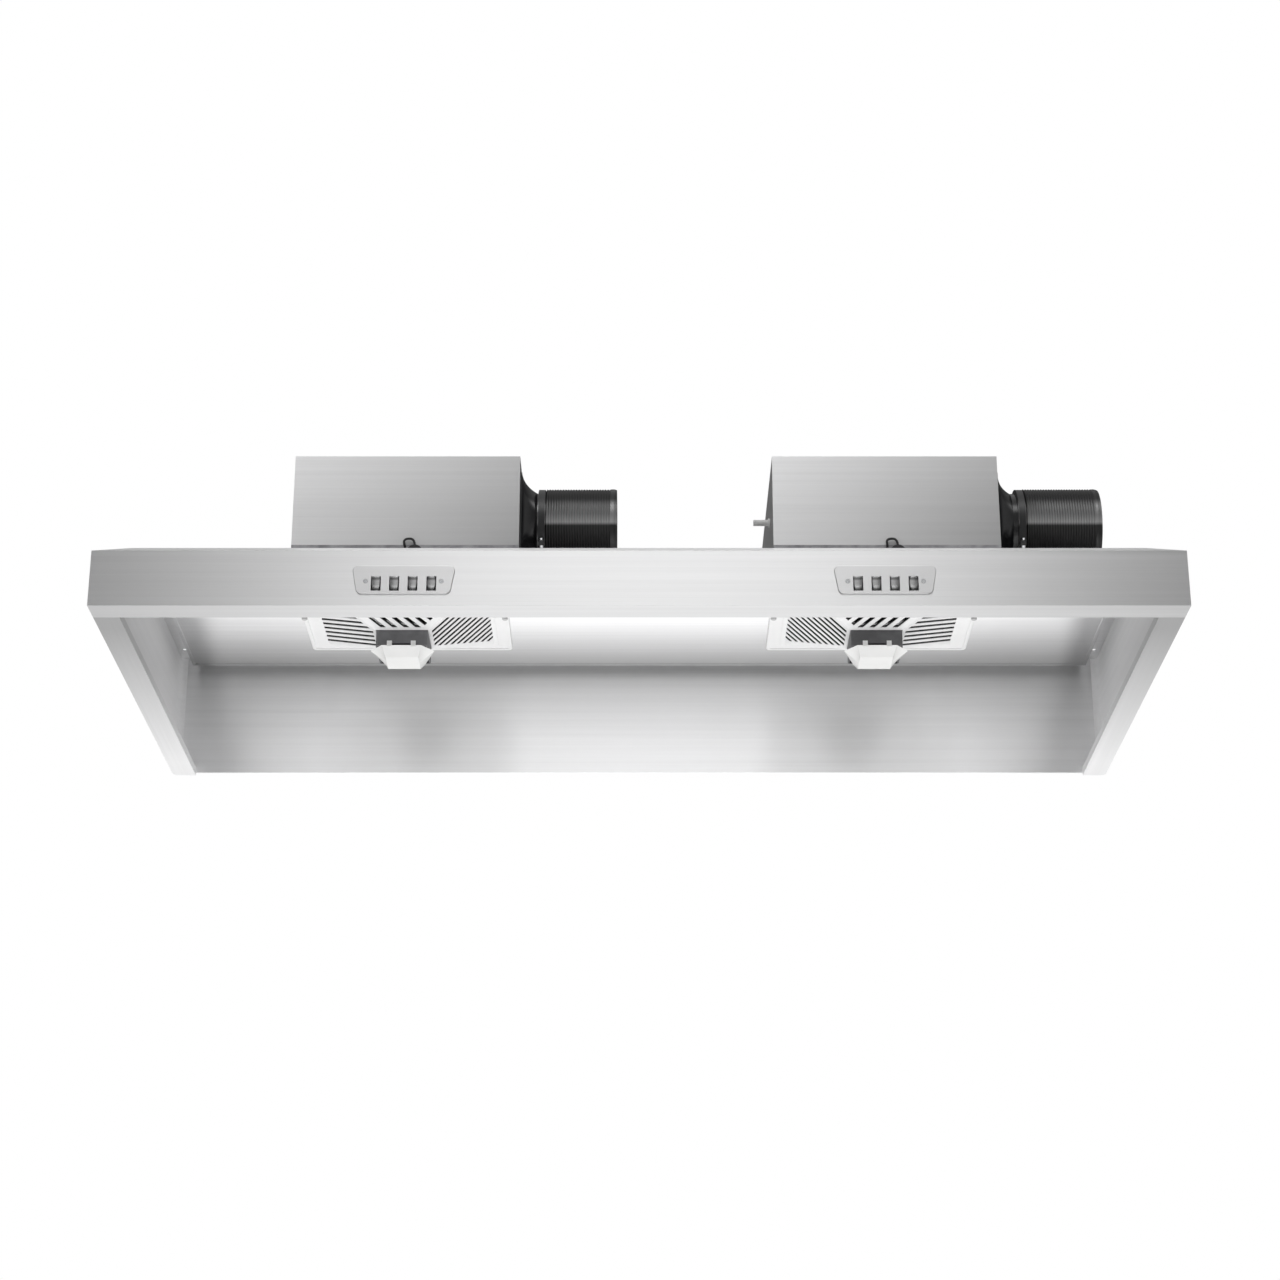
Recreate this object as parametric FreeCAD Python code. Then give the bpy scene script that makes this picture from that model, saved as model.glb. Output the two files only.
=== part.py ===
import FreeCAD, Part
import math
import os

# Under cabinet range hood with two blowers. Millimetres, +Z up, +X to the right of someone
# facing the controls, +Y to the wall. The origin is at the middle of the hood's bottom rim.

V = FreeCAD.Vector
X, Y, Z = V(1, 0, 0), V(0, 1, 0), V(0, 0, 1)

# ---- Canopy, folded and welded from stainless sheet
width = 1200.0
depth = 580.0
canopy_height = 161.0
fascia_height = 65.0
slope_run = 215.0  # how far behind the fascia the sloped top meets the flat top
sheet = 1.2
front_flange = 35.0
side_flange = 29.0
lip_height = 10.0
corner_radius = 8.0
rear_return = 10.0  # side panel's fold along the back
hem_height = 13.0
hem_lift = 3.0  # back panel's lower edge above the rim
cabinet_hole_radius = 3.0
cabinet_hole_inset = 10.0  # hole's centre from the side
cabinet_hole_first = 245.0  # behind the fascia
cabinet_hole_pitch = 300.0

# ---- Ceiling panel, a tray hung under the top
ceiling_drop = 17.0  # its underside below the canopy's top
ceiling_sheet = 1.0
ceiling_side_gap = 20.0
ceiling_rear_gap = 22.0
ceiling_front_clearance = 0.5
ceiling_hem = 4.0
ceiling_hem_thickness = 0.8

# ---- Blower boxes
left_unit_x = -278.0
right_unit_x = 294.5
box_width = 270.0
box_depth = 290.0
box_front = 222.0  # behind the fascia
box_height = 116.0
box_sheet = 1.0
box_flange = 24.0  # inward fold at the open bottom
gasket_thickness = 7.0
gasket_width = 12.0
inlet_clearance = 8.0  # canopy hole around the scroll's inlet
box_screw_inset = 9.0
box_screw_radius = 2.0
box_screw_head_radius = 3.8
box_screw_head = 2.4
screw_clearance = 0.2
gland_radius = 3.8
gland_wall = 1.8
gland_length = 20.0
gland_back = 300.0
gland_rise = 63.0  # above the box's base
gland_nut_radius = 5.5
gland_nut = 2.5

# ---- Fan inside each box
scroll_wall = 2.0
scroll_headroom = 14.0  # over the scroll, for wiring and the motor's bracket
tongue_clearance = 7.0  # wheel to the scroll's tongue
scroll_clearance = 7.0  # scroll to the side of the box
scroll_tongue_angle = -20.0
scroll_end_angle = 250.0
scroll_points = 10
inlet_lip = 3.0  # inlet outside the blades' inner edge
bracket_plate_radius = 56.0
wheel_radius = 90.0
blade_depth = 15.0
blade_thickness = 1.0
blade_count = 36
blade_turn = 32.0
blade_tip_gap = 1.5  # blade's outer edge to the wheel's rim
wheel_ring = 3.0
wheel_plate = 2.0
wheel_clearance = 8.0
motor_radius = 46.0
motor_clearance = 5.0
motor_length = 58.0
motor_boss_radius = 14.0
motor_boss = 4.0
shaft_radius = 4.0
shaft_running_clearance = 0.05
shaft_in_motor = 42.0
hub_radius = 12.0
hub_length = 16.0
bracket_radius = 72.0
bracket_thickness = 2.0
bracket_arm = 26.0
capacitor_size = (34.0, 24.0, 40.0)
capacitor_clearance = 5.0
capacitor_fillet = 3.0

# ---- Outlet: adapter, backdraught flap, clamp and hose
duct_back = 290.0  # duct axis behind the fascia
adapter_lift = 2.0  # flange above the canopy's top
adapter_rim = 3.0  # flange round its mouth
adapter_flange = 2.0
adapter_flange_fillet = 5.0
adapter_mouth_swell_y = 18.0  # mouth wider and taller than the round collar
adapter_mouth_swell_z = 12.0
adapter_wall = 2.0
adapter_taper = 18.0
adapter_easing = 0.45  # how early the taper turns towards the collar
collar_radius = 44.5
collar_length = 28.0
flap_clearance = 0.9
flap_thickness = 1.5
flap_offset = 6.0  # pivot above the duct's axis
flap_back = 14.0  # pivot behind the start of the collar
trunnion_radius = 1.5
trunnion_running_clearance = 0.05
hose_wall = 1.2
hose_cuff_clearance = 0.3
hose_cuff_wall = 2.9
hose_cuff = 9.0
hose_swell = 2.3  # ribbed run beyond the smooth cuff
hose_end = 12.0
hose_end_wall = 4.0  # round the bore that the building's duct goes into
hose_end_round = 6.0
hose_end_inset = 1.0  # the rounded end meets its face this far inside the ribs
hose_starts = {"left": 1.0, "right": 6.0}  # beyond the taper
hose_lengths = {"left": 95.0, "right": 100.0}  # each is stretched as its duct needs
rib_pitch = 3.2
rib_height = 1.1
clamp_width = 8.0
clamp_band = 1.7
clamp_gap = 0.5  # hose's end to the band
clamp_angle = 39.0  # below the horizontal, at the front
clamp_ear = (7.0, 6.0, 9.0)
clamp_ear_root = 4.0  # how far it is carried into the band
clamp_screw_radius = 2.2
clamp_screw_head_radius = 3.6
clamp_screw_head = 3.0

# ---- Lead from each box to the controls
lead_radius = 1.4
lead_back = 218.5
lead_offset = 6.0  # middle of the loop from the middle of the box
lead_bend = 6.0
lead_turn = 3.5
lead_rise = 15.0  # top of the loop above the canopy
lead_inside = 14.0
grommet_width = 16.0
grommet_depth = 5.4
grommet_rise = 5.0
grommet_neck = 10.0
grommet_clearance = 0.05

# ---- Controls in the fascia
left_bank_x = -257.0
right_bank_x = 268.6
bank_z = 30.0
bezel_top = 114.0
bezel_bottom = 102.0
bezel_height = 33.0
bezel_fillet = 6.0
bezel_stand = 1.5
key_rise = 1.0
key_width = 10.0
key_height = 16.3
key_drop = 4.6  # middle of the keys below the middle of the bezel
key_offsets = (-30.0, -10.0, 10.0, 30.5)
key_clearance = 0.4
key_fillet = 1.2
key_nose_fillet = 0.6
key_stroke = 3.0
key_stem_width = 6.0
key_stem_height = 9.0
bank_width = 94.0
bank_height = 24.0
bank_depth = 26.0
bank_wall = 2.5
bezel_screw_offset = 41.3
bezel_screw_drop = 2.0  # below the middle of the bezel
bezel_screw_radius = 1.5
bezel_screw_head_radius = 2.6
bezel_screw_head = 0.9
bezel_screw_slot = 0.6
bezel_screw_length = 14.0

# ---- Grilles with their grease collars and cups
grille_offset = 289.0  # either side of the middle
grille_back = 367.5
grille_side = 255.0
grille_border = 20.0
grille_step = 5.0  # raised outer part of the border
grille_plate = 4.5
grille_fillet = 6.0
grille_edge_fillet = 1.5
spigot_wall = 2.0
spigot_height = 9.0
spigot_clearance = 1.0
pyramid_drop = 38.0
pyramid_wall = 3.0
ridge_width = 15.0
slat_pitch = 10.0
slat_gap = 5.0
hub_side = 66.0
hub_wall = 3.0
knob_radius = 3.5
knob_length = 9.0
knob_fillet = 1.0
knob_from_edge = 4.0
collar_inset = 1.5  # collar inside the hub's outline
collar_height = 20.0
collar_wall = 2.0
collar_notch = 36.0  # between the feet at the collar's lower edge
collar_notch_height = 2.8
cup_gap = 0.5  # collar's feet to the cup's rim
cup_height = 10.5
cup_rim_front = 48.0  # straight front and back of the rim
cup_side_reach = 7.5  # side points beyond the collar
cup_front_reach = 2.5  # rim in front of the collar and behind it
cup_side_point = 14.0  # side points in front of the middle
cup_base = 40.0
cup_wall = 1.6
cup_floor = 1.6
cup_lug = (6.0, 1.6, 6.0)
cup_lug_offset = 14.5
cup_lug_clearance = 0.6

# ---- Lamps
lamp_gap = 8.5  # between the lens and the grille
lamp_back = 290.0
lamp_radius = 33.0
lamp_body_radius = 29.0
lamp_bezel = 2.0
lamp_body = 11.0
lamp_clearance = 0.5

# ---- For the modelling itself
past = 1.0  # how far a cutter runs beyond what it cuts
close = 0.01  # counts as the same place
parallel = 0.999  # counts as the same direction
shortest_flat = 0.2  # left between the corners where a section is all but round

half = width / 2
ceiling_z = canopy_height - ceiling_drop
key_stand = bezel_stand + key_rise
front_y = (key_stand - depth) / 2  # keeps the whole hood centred on the origin
back_y = front_y + depth
box_z = canopy_height + gasket_thickness
box_top = box_z + box_height
units = (("left", left_unit_x), ("right", right_unit_x))
banks = (("left", left_bank_x), ("right", right_bank_x))


def behind(distance):
    """Y of a point this far behind the fascia."""
    return front_y + distance


def span(side, a, b):
    """Two distances from the middle as lowest and highest X, on the side -1 or 1."""
    return sorted((side * a, side * b))


def block(x0, x1, y0, y1, z0, z1):
    return Part.makeBox(x1 - x0, y1 - y0, z1 - z0, V(x0, y0, z0))


def centred(x, y, size_x, size_y, z0, z1):
    return block(x - size_x / 2, x + size_x / 2, y - size_y / 2, y + size_y / 2, z0, z1)


def rod(radius, start, end):
    start, end = V(*start), V(*end)
    return Part.makeCylinder(radius, (end - start).Length, start, end - start)


def polygon(points):
    return Part.Face(Part.makePolygon([V(*p) for p in list(points) + [points[0]]]))


def rounded(body, radius, along):
    """The block with its edges along one direction rounded."""
    edges = []
    for edge in body.Edges:
        run = edge.Vertexes[-1].Point - edge.Vertexes[0].Point
        if run.Length and abs(run.normalize().dot(along)) > parallel:
            edges.append(edge)
    return body.makeFillet(radius, edges)


def inward(points, distance):
    """An open line moved to its right by a distance, with mitred corners."""
    moved = []
    for i, (y, z) in enumerate(points):
        normals = []
        for a, b in ((i - 1, i), (i, i + 1)):
            if 0 <= a and b < len(points):
                dy, dz = points[b][0] - points[a][0], points[b][1] - points[a][1]
                run = math.hypot(dy, dz)
                normals.append((dz / run, -dy / run))
        ny = sum(n[0] for n in normals) / len(normals)
        nz = sum(n[1] for n in normals) / len(normals)
        reach = distance / (ny * ny + nz * nz)
        moved.append((y + ny * reach, z + nz * reach))
    return moved


def save(name, *solids):
    shape = solids[0] if len(solids) == 1 else Part.makeCompound(list(solids))
    shape.exportStep("parts/" + name + ".step")


os.makedirs("parts", exist_ok=True)

# ---- Canopy section, from the front flange's lip round to the back of the flat top
outer = [
    (behind(front_flange), lip_height),
    (behind(front_flange), 0),
    (front_y, 0),
    (front_y, fascia_height),
    (behind(slope_run), canopy_height),
    (back_y, canopy_height),
]
inner = inward(outer, sheet)
top_inner_z = inner[-1][1]


def canopy_run(first, last):
    """The stretch of folded sheet between two corners of the section."""
    line = outer[first : last + 1] + inner[first : last + 1][::-1]
    return polygon([(-half, y, z) for y, z in line]).extrude(V(width, 0, 0))


def slope_underside_y(z):
    """Where the sloped top's inner face is at this height."""
    (y0, z0), (y1, z1) = inner[3], inner[4]
    return y0 + (z - z0) * (y1 - y0) / (z1 - z0)


footprint = rounded(block(-half, half, behind(-past), back_y, 0, canopy_height), corner_radius, Z)
footprint = footprint.fuse(block(-half, half, behind(-past), behind(front_flange), 0, canopy_height))
inside_plan = block(-half + sheet, half - sheet, behind(-2), back_y - sheet, 0, canopy_height)
inside_plan = rounded(inside_plan, corner_radius - sheet, Z)
inside_plan = inside_plan.fuse(
    block(-half + sheet, half - sheet, behind(-2), behind(front_flange), 0, canopy_height)
)
room_line = [
    inner[2],
    inner[3],
    inner[4],
    inner[5],
    (back_y, 0),
    outer[1],
    (outer[1][0], sheet),
]
room = polygon([(-half, y, z) for y, z in room_line]).extrude(V(width, 0, 0))

# ---- Front fascia, with an opening and screw holes for each bank of keys
fascia = canopy_run(0, 3)
lip_back = behind(front_flange)
for side in (-1, 1):
    x0, x1 = span(side, half - side_flange, half)
    fascia = fascia.cut(block(x0, x1, lip_back - sheet, lip_back, sheet, lip_height))
bank_pocket_height = key_height + 2 * key_clearance
keys_z = bank_z - key_drop
screw_z = bank_z - bezel_screw_drop
for _, x in banks:
    window = key_offsets[-1] - key_offsets[0] + key_width + 2 * key_clearance
    middle = x + (key_offsets[-1] + key_offsets[0]) / 2
    fascia = fascia.cut(
        block(
            middle - window / 2,
            middle + window / 2,
            front_y,
            behind(sheet),
            keys_z - bank_pocket_height / 2,
            keys_z + bank_pocket_height / 2,
        )
    )
    for side in (-1, 1):
        hole_x = x + side * bezel_screw_offset
        hole = rod(
            bezel_screw_radius + screw_clearance,
            (hole_x, front_y, screw_z),
            (hole_x, behind(sheet), screw_z),
        )
        fascia = fascia.cut(hole)
save("front_fascia", fascia)

# ---- Top plate, sloped in front and flat behind
axis_back = box_front + box_depth / 2
top_plate = canopy_run(3, 5).common(footprint)
cabinet_holes = [
    (side * (half - cabinet_hole_inset), behind(cabinet_hole_first + row * cabinet_hole_pitch))
    for side in (-1, 1)
    for row in (0, 1)
]
for x, y in cabinet_holes:
    top_plate = top_plate.cut(
        rod(cabinet_hole_radius, (x, y, top_inner_z), (x, y, canopy_height))
    )
box_screws_at = []
inlet_radius = wheel_radius - blade_depth + inlet_lip
for _, x in units:
    inlet = rod(
        inlet_radius + inlet_clearance,
        (x, behind(axis_back), top_inner_z),
        (x, behind(axis_back), canopy_height),
    )
    top_plate = top_plate.cut(inlet)
    for across in (-1, 1):
        for along in (-1, 1):
            box_screws_at.append(
                (
                    x + across * (box_width / 2 - box_screw_inset),
                    behind(axis_back) + along * (box_depth / 2 - box_screw_inset),
                )
            )
    neck = centred(
        x + lead_offset + lead_bend,
        behind(lead_back),
        grommet_neck,
        grommet_depth - 2 * sheet,
        top_inner_z - sheet,
        canopy_height + sheet,
    )
    top_plate = top_plate.cut(neck)
for x, y in box_screws_at:
    top_plate = top_plate.cut(
        rod(box_screw_radius + screw_clearance, (x, y, top_inner_z), (x, y, canopy_height))
    )
save("top_plate", top_plate)

# ---- Side panels: wall, fold along the back, bottom flange and its lip
skin = footprint.cut(inside_plan).common(room)
for name, side in (("left", -1), ("right", 1)):
    x0, x1 = span(side, half - rear_return, half + past)
    panel = skin.common(block(x0, x1, front_y, back_y, 0, canopy_height))
    x0, x1 = span(side, half - side_flange, half)
    flange = footprint.common(block(x0, x1, lip_back, back_y, 0, sheet))
    x0, x1 = span(side, half - side_flange, half - side_flange + sheet)
    lip = block(x0, x1, lip_back, back_y - 2 * sheet, 0, lip_height)
    save("side_panel_" + name, panel.multiFuse([flange, lip]).removeSplitter())

# ---- Back panel, its lower edge hemmed to the inside
back_half = half - rear_return
back_panel = block(-back_half, back_half, back_y - sheet, back_y, hem_lift, top_inner_z)
hem = block(
    -back_half, back_half, back_y - 2 * sheet, back_y - sheet, hem_lift, hem_lift + hem_height
)
save("back_panel", back_panel.fuse(hem).removeSplitter())

# ---- Ceiling panel
ceiling_half = half - ceiling_side_gap
ceiling_front = slope_underside_y(ceiling_z) + ceiling_front_clearance
ceiling_rear = back_y - ceiling_rear_gap
ceiling_top = ceiling_z + ceiling_sheet
ceiling = block(-ceiling_half, ceiling_half, ceiling_front, ceiling_rear, ceiling_z, top_inner_z)
ceiling = ceiling.cut(
    block(
        -ceiling_half + ceiling_sheet,
        ceiling_half - ceiling_sheet,
        ceiling_front - ceiling_sheet,
        ceiling_rear - ceiling_sheet,
        ceiling_top,
        top_inner_z,
    )
)
ceiling = ceiling.common(room)
hem_z = ceiling_z - ceiling_hem_thickness
hems = [
    block(
        -ceiling_half, ceiling_half, ceiling_rear - ceiling_hem, ceiling_rear, hem_z, ceiling_z
    )
]
for side in (-1, 1):
    x0, x1 = span(side, ceiling_half - ceiling_hem, ceiling_half)
    hems.append(block(x0, x1, ceiling_front, ceiling_rear, hem_z, ceiling_z))
ceiling = ceiling.multiFuse(hems)
hole_side = grille_side - 2 * grille_border
lamp_offset = grille_offset - grille_side / 2 - lamp_gap - lamp_radius
for side in (-1, 1):
    ceiling = ceiling.cut(
        centred(
            side * grille_offset, behind(grille_back), hole_side, hole_side, hem_z, ceiling_top
        )
    )
    lamp = (side * lamp_offset, behind(lamp_back))
    ceiling = ceiling.cut(
        rod(lamp_body_radius + lamp_clearance, (*lamp, hem_z), (*lamp, ceiling_top))
    )
save("ceiling_panel", ceiling.removeSplitter())

# ---- Lamps: a flat lens with the driver's can behind it
for name, side in (("left", -1), ("right", 1)):
    at = (side * lamp_offset, behind(lamp_back))
    face = rod(lamp_radius, (*at, ceiling_z - lamp_bezel), (*at, ceiling_z))
    can = rod(lamp_body_radius, (*at, ceiling_z), (*at, ceiling_z + lamp_body))
    rim = [e for e in face.Edges if abs(e.BoundBox.ZMax - ceiling_z + lamp_bezel) < close]
    face = face.makeFillet(lamp_bezel / 2, [e for e in rim if e.BoundBox.XLength > lamp_radius])
    save("lamp_" + name, face.fuse(can).removeSplitter())

# ---- Controls: bezel, four keys, switch bank and two screws on each side
bezel_low = bank_z - bezel_height / 2
bezel_high = bank_z + bezel_height / 2
bezel_screws = []
for name, x in banks:
    trapezoid = polygon(
        [
            (x - bezel_bottom / 2, front_y, bezel_low),
            (x + bezel_bottom / 2, front_y, bezel_low),
            (x + bezel_top / 2, front_y, bezel_high),
            (x - bezel_top / 2, front_y, bezel_high),
        ]
    )
    bezel = trapezoid.extrude(V(0, -bezel_stand, 0))
    bezel = rounded(bezel, bezel_fillet, Y)
    front = [e for e in bezel.Edges if e.BoundBox.YMax < front_y - bezel_stand + close]
    bezel = bezel.makeFillet(bezel_stand / 2, front)
    bank = block(
        x - bank_width / 2,
        x + bank_width / 2,
        behind(sheet),
        behind(sheet + bank_depth),
        screw_z - bank_height / 2,
        screw_z + bank_height / 2,
    )
    bank = rounded(bank, bank_wall, Z)
    for number, offset in enumerate(key_offsets, start=1):
        key_x = x + offset
        hole_width = key_width + 2 * key_clearance
        hole_height = key_height + 2 * key_clearance
        opening = block(
            key_x - hole_width / 2,
            key_x + hole_width / 2,
            front_y - bezel_stand,
            behind(sheet + key_stroke + key_rise + bank_wall),
            keys_z - hole_height / 2,
            keys_z + hole_height / 2,
        )
        stem_hole = block(
            key_x - key_stem_width / 2 - key_clearance,
            key_x + key_stem_width / 2 + key_clearance,
            behind(sheet),
            behind(sheet + bank_depth - bank_wall),
            keys_z - key_stem_height / 2 - key_clearance,
            keys_z + key_stem_height / 2 + key_clearance,
        )
        bezel = bezel.cut(opening)
        bank = bank.cut(opening).cut(stem_hole)
        cap = block(
            key_x - key_width / 2,
            key_x + key_width / 2,
            front_y - key_stand,
            behind(sheet),
            keys_z - key_height / 2,
            keys_z + key_height / 2,
        )
        cap = rounded(cap, key_fillet, Y)
        nose = [e for e in cap.Edges if e.BoundBox.YMax < front_y - key_stand + close]
        cap = cap.makeFillet(key_nose_fillet, nose)
        stem = block(
            key_x - key_stem_width / 2,
            key_x + key_stem_width / 2,
            behind(sheet),
            behind(sheet + bank_depth - bank_wall - key_stroke - key_clearance),
            keys_z - key_stem_height / 2,
            keys_z + key_stem_height / 2,
        )
        save("key_" + name + "_" + str(number), cap.fuse(stem).removeSplitter())
    for side in (-1, 1):
        hole_x = x + side * bezel_screw_offset
        front_face = front_y - bezel_stand
        hole = rod(
            bezel_screw_radius + screw_clearance,
            (hole_x, front_face, screw_z),
            (hole_x, behind(bezel_screw_length), screw_z),
        )
        sink = rod(
            bezel_screw_head_radius + screw_clearance,
            (hole_x, front_face, screw_z),
            (hole_x, front_face + bezel_screw_head, screw_z),
        )
        bezel = bezel.cut(hole).cut(sink)
        bank = bank.cut(hole)
        head = rod(
            bezel_screw_head_radius,
            (hole_x, front_face, screw_z),
            (hole_x, front_face + bezel_screw_head, screw_z),
        )
        shank = rod(
            bezel_screw_radius,
            (hole_x, front_face, screw_z),
            (hole_x, behind(bezel_screw_length), screw_z),
        )
        slot = block(
            hole_x - bezel_screw_head_radius,
            hole_x + bezel_screw_head_radius,
            front_face,
            front_face + bezel_screw_head / 2,
            screw_z - bezel_screw_slot / 2,
            screw_z + bezel_screw_slot / 2,
        )
        cross = slot.copy()
        cross.rotate(V(hole_x, front_face, screw_z), Y, 90)
        bezel_screws.append(head.fuse(shank).cut(slot).cut(cross).removeSplitter())
    save("switch_bezel_" + name, bezel)
    save("switch_bank_" + name, bank)
save("bezel_screws", *bezel_screws)

# ---- One blower unit, made about X = 0 and copied to each side
axis_y = behind(axis_back)
box_side = box_width / 2
box_rear = box_front + box_depth
duct_y = behind(duct_back)
scroll_z = box_z + box_sheet
scroll_top = box_top - box_sheet - scroll_headroom

gasket = block(-box_side, box_side, behind(box_front), behind(box_rear), canopy_height, box_z)
gasket = gasket.cut(
    block(
        -box_side + gasket_width,
        box_side - gasket_width,
        behind(box_front + gasket_width),
        behind(box_rear - gasket_width),
        canopy_height,
        box_z,
    )
)
lead_left = lead_offset - lead_bend
lead_room = lead_radius + grommet_clearance
gasket = gasket.cut(
    block(
        lead_left - lead_room,
        lead_left + lead_room,
        behind(box_front),
        behind(box_front + gasket_width),
        canopy_height,
        box_z,
    )
)

shell = block(-box_side, box_side, behind(box_front), behind(box_rear), box_z, box_top)
shell = shell.cut(
    block(
        -box_side + box_sheet,
        box_side - box_sheet,
        behind(box_front + box_sheet),
        behind(box_rear - box_sheet),
        box_z + box_sheet,
        box_top - box_sheet,
    )
)
shell = shell.cut(
    block(
        -box_side + box_flange,
        box_side - box_flange,
        behind(box_front + box_flange),
        behind(box_rear - box_flange),
        box_z,
        box_z + box_sheet,
    )
)
adapter_mouth_y = 2 * collar_radius + adapter_mouth_swell_y
adapter_mouth_z = 2 * collar_radius + adapter_mouth_swell_z
adapter_flange_y = adapter_mouth_y + 2 * adapter_rim
adapter_flange_z = adapter_mouth_z + 2 * adapter_rim
duct_z = canopy_height + adapter_lift + adapter_flange_z / 2
mouth = block(
    box_side - box_sheet,
    box_side,
    duct_y - adapter_mouth_y / 2,
    duct_y + adapter_mouth_y / 2,
    duct_z - adapter_mouth_z / 2,
    duct_z + adapter_mouth_z / 2,
)
gland_y = behind(gland_back)
gland_z = box_z + gland_rise
gland_hole = rod(
    gland_radius, (-box_side, gland_y, gland_z), (-box_side + box_sheet, gland_y, gland_z)
)
shell = shell.cut(mouth)
for across in (-1, 1):
    for along in (-1, 1):
        x = across * (box_side - box_screw_inset)
        y = axis_y + along * (box_depth / 2 - box_screw_inset)
        hole = rod(box_screw_radius + screw_clearance, (x, y, canopy_height), (x, y, scroll_z))
        shell = shell.cut(hole)
        gasket = gasket.cut(hole)

# Spiral scroll: its radius grows evenly from the tongue round to the straight outlet.
scroll_tongue_radius = wheel_radius + tongue_clearance
scroll_room = min(box_side, box_rear - axis_back, axis_back - box_front)
scroll_exit_radius = scroll_room - box_sheet - scroll_clearance - scroll_wall


def spiral(grow):
    points = []
    for i in range(scroll_points + 1):
        share = i / scroll_points
        angle = math.radians(
            scroll_tongue_angle + (scroll_end_angle - scroll_tongue_angle) * share
        )
        radius = scroll_tongue_radius + (scroll_exit_radius - scroll_tongue_radius) * share + grow
        points.append(V(radius * math.cos(angle), axis_y + radius * math.sin(angle), 0))
    return points


def scroll_solid(grow, z0, z1):
    points = spiral(grow)
    curve = Part.BSplineCurve()
    curve.interpolate(points)
    exit_x = box_side - box_sheet
    corner = V(exit_x, points[-1].y, 0)
    inner_corner = V(exit_x, points[0].y, 0)
    edges = [
        curve.toShape(),
        Part.makeLine(points[-1], corner),
        Part.makeLine(corner, inner_corner),
        Part.makeLine(inner_corner, points[0]),
    ]
    face = Part.Face(Part.Wire(edges))
    solid = face.extrude(V(0, 0, z1 - z0))
    solid.translate(V(0, 0, z0))
    return solid


scroll = scroll_solid(scroll_wall, scroll_z, scroll_top)
scroll = scroll.cut(scroll_solid(0, scroll_z + scroll_wall, scroll_top - scroll_wall))
scroll = scroll.cut(rod(inlet_radius, (0, axis_y, scroll_z), (0, axis_y, scroll_z + scroll_wall)))
scroll = scroll.cut(
    rod(bracket_plate_radius, (0, axis_y, scroll_top - scroll_wall), (0, axis_y, scroll_top))
)

# Motor, hung from a cross-shaped bracket that is screwed to the scroll
motor_top = scroll_top
motor_low = motor_top - motor_length
motor = rod(motor_radius, (0, axis_y, motor_low), (0, axis_y, motor_top))
motor = motor.makeFillet(
    motor_boss, [e for e in motor.Edges if abs(e.BoundBox.ZMax - motor_low) < close]
)
motor = motor.fuse(
    rod(motor_boss_radius, (0, axis_y, motor_low - motor_boss), (0, axis_y, motor_low))
)
motor = motor.cut(
    rod(
        shaft_radius + shaft_running_clearance,
        (0, axis_y, motor_low - motor_boss),
        (0, axis_y, motor_low + shaft_in_motor),
    )
)
motor = motor.removeSplitter()

bracket_top = scroll_top + bracket_thickness
bracket = rod(bracket_plate_radius, (0, axis_y, scroll_top), (0, axis_y, bracket_top))
for size_x, size_y in (
    (2 * bracket_radius, bracket_arm),
    (bracket_arm, 2 * bracket_radius),
):
    bracket = bracket.fuse(centred(0, axis_y, size_x, size_y, scroll_top, bracket_top))
bracket = bracket.cut(
    rod(motor_boss_radius, (0, axis_y, scroll_top), (0, axis_y, bracket_top))
)
bracket = bracket.removeSplitter()

# Wheel: forward-curved blades between an open inlet ring and a dished back plate
wheel_z = scroll_z + scroll_wall + wheel_clearance
wheel_top = scroll_top - scroll_wall - wheel_clearance
blade_inner = wheel_radius - blade_depth
dish_z = motor_low - motor_boss - motor_clearance / 2
dish_radius = motor_radius + motor_clearance
plate = [
    (shaft_radius, dish_z - wheel_plate),
    (dish_radius, dish_z - wheel_plate),
    (blade_inner, wheel_top - wheel_plate),
    (wheel_radius, wheel_top - wheel_plate),
    (wheel_radius, wheel_top),
    (blade_inner - wheel_plate, wheel_top),
    (dish_radius - wheel_plate, dish_z),
    (shaft_radius, dish_z),
]
wheel = polygon([(r, axis_y, z) for r, z in plate]).revolve(V(0, axis_y, 0), Z, 360)
hub = rod(hub_radius, (0, axis_y, dish_z - hub_length), (0, axis_y, dish_z))
hub = hub.cut(rod(shaft_radius, (0, axis_y, dish_z - hub_length), (0, axis_y, dish_z)))
ring = rod(wheel_radius, (0, axis_y, wheel_z), (0, axis_y, wheel_z + wheel_ring))
ring = ring.cut(rod(blade_inner, (0, axis_y, wheel_z), (0, axis_y, wheel_z + wheel_ring)))
blades = []
blade_half = blade_thickness / 2
for i in range(blade_count):
    blade = block(0, blade_depth - blade_tip_gap, -blade_half, blade_half, wheel_z, wheel_top)
    blade.rotate(V(0, 0, 0), Z, blade_turn)
    blade.translate(V(blade_inner + wheel_plate / 2, axis_y, 0))
    blade.rotate(V(0, axis_y, 0), Z, 360.0 * i / blade_count)
    blades.append(blade)
wheel = wheel.multiFuse([hub, ring] + blades).removeSplitter()

shaft = rod(
    shaft_radius,
    (0, axis_y, dish_z - hub_length - motor_boss),
    (0, axis_y, motor_low + shaft_in_motor - motor_clearance),
)

cap_x, cap_y, cap_z = capacitor_size
capacitor = block(
    box_side - box_sheet - capacitor_clearance - cap_x,
    box_side - box_sheet - capacitor_clearance,
    behind(box_rear) - box_sheet - capacitor_clearance - cap_y,
    behind(box_rear) - box_sheet - capacitor_clearance,
    box_top - box_sheet - cap_z,
    box_top - box_sheet,
)
capacitor = rounded(capacitor, capacitor_fillet, Z)

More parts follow.
